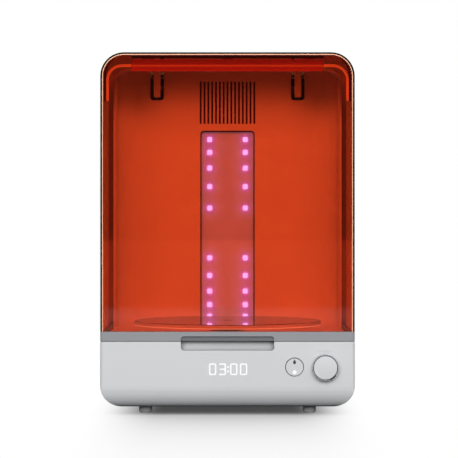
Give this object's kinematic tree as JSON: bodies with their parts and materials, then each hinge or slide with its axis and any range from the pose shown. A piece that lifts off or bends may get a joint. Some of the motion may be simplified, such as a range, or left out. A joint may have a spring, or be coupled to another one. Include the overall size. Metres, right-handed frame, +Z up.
{
  "type": "light curing unit",
  "caption": "Desktop light curing unit with a hinged orange acrylic hood, a turntable, a rear column of light diodes and air heater, and front controls.",
  "frame": {"origin": "middle of the unit's box, on the surface that its feet stand on", "axes": "+Z up, +X to the right seen from the front, the front with the display faces -Y"},
  "size_m": [0.268, 0.296, 0.3823],
  "materials": {
    "housing_grey": "fine moulded satin",
    "skirt_grey": "fine moulded satin",
    "orange_acrylic": "polished clear dyed acrylic",
    "liner_white": "satin light grey lining",
    "clear_disc": "polished clear acrylic",
    "clear_pane": "polished clear polycarbonate",
    "brace_red": "polished dyed acrylic",
    "bare_steel": "zinc plated",
    "dark_steel": "satin powder coat",
    "bare_aluminium": "extruded, clear anodised",
    "board_green": "solder mask",
    "board_white": "white solder mask",
    "diode_glow": "clear silicone lens over a violet die",
    "display_glow": "lit light guide",
    "button_grey": "satin moulded",
    "black_plastic": "moulded",
    "heater_ceramic": "ceramic and fin pack",
    "bearing_plastic": "acetal",
    "friction_lining": "friction lining",
    "foot_rubber": "moulded"
  },
  "bodies": {
    "base": {"base_housing": "housing_grey", "base_plate": "bare_steel", "base_plate_screws": "bare_steel", "foot_front_left": "foot_rubber", "foot_front_right": "foot_rubber", "foot_rear_left": "foot_rubber", "foot_rear_right": "foot_rubber", "chamber_deck": "liner_white", "deck_screws": "bare_steel", "turntable_bush": "bearing_plastic", "motor_bracket": "bare_steel", "gearbox": "dark_steel", "drive_motor": "dark_steel", "rear_liner": "liner_white", "rear_cover": "housing_grey", "rear_cover_screws": "bare_steel", "hinge_frame": "bare_steel", "hinge_pin_left": "bare_steel", "hinge_pin_right": "bare_steel", "friction_washers": "friction_lining", "catch_magnets": "bare_steel", "hood_bumpers": "foot_rubber", "light_window": "clear_pane", "light_board": "board_white", "light_diodes": "diode_glow", "light_heatsink": "bare_aluminium", "heater_block": "heater_ceramic", "fan_frame": "black_plastic", "power_supply": "bare_aluminium", "main_board": "board_green", "board_standoffs": "bare_steel", "power_inlet": "black_plastic", "inlet_pins": "bare_steel", "control_board": "board_green", "display_module": "black_plastic", "display_segments_lit": "display_glow", "display_segments_unlit": "housing_grey", "button_switch": "black_plastic", "encoder_body": "dark_steel", "hood_sensor": "board_green"},
    "hood": {"hood_shell": "orange_acrylic", "hood_skirt": "skirt_grey", "hood_brace": "brace_red", "brace_plate": "brace_red", "hood_magnets": "bare_steel", "hinge_arm_left": "dark_steel", "hinge_arm_right": "dark_steel", "hinge_arm_screws": "bare_steel"},
    "turntable": {"turntable_disc": "clear_disc", "turntable_hub": "black_plastic", "turntable_shaft": "bare_steel"},
    "fan": {"fan_rotor": "black_plastic"},
    "button": {"mode_button": "button_grey", "button_icons": "display_glow"},
    "knob_plunger": {"encoder_plunger": "bearing_plastic"},
    "knob_dial": {"knob": "button_grey", "knob_shaft": "bare_steel"}
  },
  "joints": [
    {"name": "hood_hinge", "type": "hinge", "parent": "base", "child": "hood", "pos_m": [0, 0.122, 0.3533], "axis": [-1, 0, 0], "range_deg": [0, 72]},
    {"name": "turntable_spin", "type": "hinge", "parent": "base", "child": "turntable", "pos_m": [0, -0.022, 0.09], "axis": [0, 0, 1], "continuous": true},
    {"name": "button_press", "type": "slide", "parent": "base", "child": "button", "axis": [0, 1, 0], "range_m": [0, 0.001], "stiffness_N_per_m": 2000},
    {"name": "knob_press", "type": "slide", "parent": "base", "child": "knob_plunger", "axis": [0, 1, 0], "range_m": [0, 0.0008], "stiffness_N_per_m": 2500},
    {"name": "knob_turn", "type": "hinge", "parent": "knob_plunger", "child": "knob_dial", "pos_m": [0.1026, 0, 0.051], "axis": [0, -1, 0], "continuous": true},
    {"name": "fan_spin", "type": "hinge", "parent": "base", "child": "fan", "pos_m": [0, 0.115, 0.3408], "axis": [0, 1, 0], "continuous": true}
  ]
}
